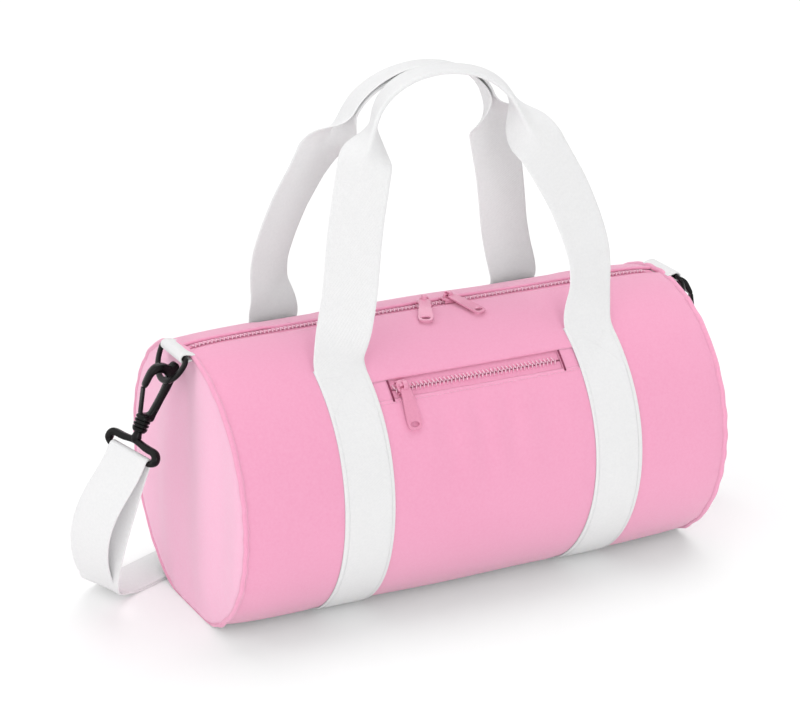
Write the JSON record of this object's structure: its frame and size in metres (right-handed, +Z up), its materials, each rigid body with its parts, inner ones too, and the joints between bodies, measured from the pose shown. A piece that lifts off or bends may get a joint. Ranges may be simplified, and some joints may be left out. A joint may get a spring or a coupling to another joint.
{
  "type": "barrel bag",
  "caption": "Soft barrel-shaped bag with two webbing carry handles, a zipped top, a zipped front pocket and a shoulder strap that clips to rings at its ends.",
  "frame": {"origin": "on the floor, under the middle of the barrel", "axes": "+X along the barrel to the right as seen from the pocket's side, +Y away from the pocket towards the back, +Z up"},
  "size_m": [0.5638, 0.2471, 0.3922],
  "materials": {
    "pink_cloth": "matte woven polyester",
    "lining_cloth": "matte",
    "zip_tape": "matte woven",
    "zip_teeth": "satin",
    "zip_metal": "satin enamel",
    "webbing": "matte ribbed webbing",
    "black_plastic": "satin moulded"
  },
  "bodies": {
    "bag": {"barrel_panel": "pink_cloth", "left_end_panel": "pink_cloth", "right_end_panel": "pink_cloth", "left_seam_binding": "lining_cloth", "right_seam_binding": "lining_cloth", "pocket_lining": "lining_cloth", "pocket_zip_tape_upper": "zip_tape", "pocket_zip_tape_lower": "zip_tape", "pocket_zip_teeth_upper": "zip_teeth", "pocket_zip_teeth_lower": "zip_teeth", "pocket_zip_tab_left": "pink_cloth", "pocket_zip_tab_right": "pink_cloth", "main_zip_tape_front": "zip_tape", "main_zip_tape_back": "zip_tape", "main_zip_teeth_front": "zip_teeth", "main_zip_teeth_back": "zip_teeth", "left_band": "webbing", "right_band": "webbing", "left_ring_tab": "webbing", "right_ring_tab": "webbing", "left_strap_outer": "webbing", "left_strap_inner": "webbing", "right_strap_drop": "webbing", "strap_floor_run": "webbing", "strap_return": "webbing"},
    "pocket_slider": {"pocket_zip_slider": "zip_metal"},
    "pocket_pull": {"pocket_zip_pull": "zip_metal"},
    "main_left_slider": {"main_zip_slider_left": "zip_metal"},
    "main_left_pull": {"main_zip_pull_left": "zip_metal"},
    "main_right_slider": {"main_zip_slider_right": "zip_metal"},
    "main_right_pull": {"main_zip_pull_right": "zip_metal"},
    "front_handle": {"front_handle": "webbing"},
    "back_handle": {"back_handle": "webbing"},
    "adjuster": {"strap_adjuster": "black_plastic"},
    "left_ring": {"left_d_ring": "black_plastic"},
    "left_hook": {"left_hook_body": "black_plastic"},
    "left_gate": {"left_hook_gate": "black_plastic"},
    "left_frame": {"left_strap_frame": "black_plastic", "left_strap_loop": "webbing"},
    "right_ring": {"right_d_ring": "black_plastic"},
    "right_hook": {"right_hook_body": "black_plastic"},
    "right_gate": {"right_hook_gate": "black_plastic"},
    "right_frame": {"right_strap_frame": "black_plastic", "right_strap_loop": "webbing"}
  },
  "joints": [
    {"name": "pocket_zip_slide", "type": "slide", "parent": "bag", "child": "pocket_slider", "axis": [1, 0, 0], "range_m": [0, 0.12]},
    {"name": "pocket_pull_swing", "type": "hinge", "parent": "pocket_slider", "child": "pocket_pull", "pos_m": [-0.061, -0.07972, 0.18111], "axis": [-1, 0, 0], "range_deg": [0, 130]},
    {"name": "main_zip_left_slide", "type": "slide", "parent": "bag", "child": "main_left_slider", "axis": [-1, 0, 0], "range_m": [0, 0.18]},
    {"name": "main_zip_right_slide", "type": "slide", "parent": "bag", "child": "main_right_slider", "axis": [1, 0, 0], "range_m": [0, 0.17]},
    {"name": "main_left_pull_swing", "type": "hinge", "parent": "main_left_slider", "child": "main_left_pull", "pos_m": [-0.005, 0, 0.21359], "axis": [-0.9135, 0.4067, 0], "range_deg": [0, 150]},
    {"name": "main_right_pull_swing", "type": "hinge", "parent": "main_right_slider", "child": "main_right_pull", "pos_m": [0.015, 0, 0.21359], "axis": [-0.9135, -0.4067, 0], "range_deg": [0, 150]},
    {"name": "front_handle_fold", "type": "hinge", "parent": "bag", "child": "front_handle", "pos_m": [0, -0.05779, 0.19587], "axis": [1, 0, 0], "range_deg": [0, 115]},
    {"name": "back_handle_fold", "type": "hinge", "parent": "bag", "child": "back_handle", "pos_m": [0, 0.05779, 0.19587], "axis": [-1, 0, 0], "range_deg": [0, 115]},
    {"name": "left_ring_swing", "type": "hinge", "parent": "bag", "child": "left_ring", "pos_m": [-0.206, 0, 0.2045], "axis": [0, 1, 0], "range_deg": [-8, 110], "deforming": ["left_strap_outer", "left_strap_inner"]},
    {"name": "left_hook_rock", "type": "hinge", "parent": "left_ring", "child": "left_hook", "pos_m": [-0.21661, 0, 0.18454], "axis": [0, 1, 0], "range_deg": [-4, 40], "deforming": ["left_strap_outer", "left_strap_inner"]},
    {"name": "left_hook_swivel", "type": "hinge", "parent": "left_hook", "child": "left_frame", "pos_m": [-0.23645, 0, 0.14739], "axis": [-0.4035, 0, -0.915], "continuous": true, "deforming": ["left_strap_outer", "left_strap_inner"]},
    {"name": "left_gate_push", "type": "hinge", "parent": "left_hook", "child": "left_gate", "pos_m": [-0.23438, 0, 0.16189], "axis": [0, 1, 0], "range_deg": [0, 18], "stiffness_Nm_per_rad": 0.05},
    {"name": "right_ring_swing", "type": "hinge", "parent": "bag", "child": "right_ring", "pos_m": [0.206, 0, 0.2045], "axis": [0, -1, 0], "range_deg": [-8, 110], "deforming": ["right_strap_drop"]},
    {"name": "right_hook_rock", "type": "hinge", "parent": "right_ring", "child": "right_hook", "pos_m": [0.21661, 0, 0.18454], "axis": [0, -1, 0], "range_deg": [-4, 40], "deforming": ["right_strap_drop"]},
    {"name": "right_hook_swivel", "type": "hinge", "parent": "right_hook", "child": "right_frame", "pos_m": [0.23645, 0, 0.14739], "axis": [0.4035, 0, -0.915], "continuous": true, "deforming": ["right_strap_drop"]},
    {"name": "right_gate_push", "type": "hinge", "parent": "right_hook", "child": "right_gate", "pos_m": [0.23438, 0, 0.16189], "axis": [0, -1, 0], "range_deg": [0, 18], "stiffness_Nm_per_rad": 0.05},
    {"name": "adjuster_slide", "type": "slide", "parent": "bag", "child": "adjuster", "axis": [1, 0, 0], "range_m": [0, 0.08], "deforming": ["strap_return"]}
  ]
}
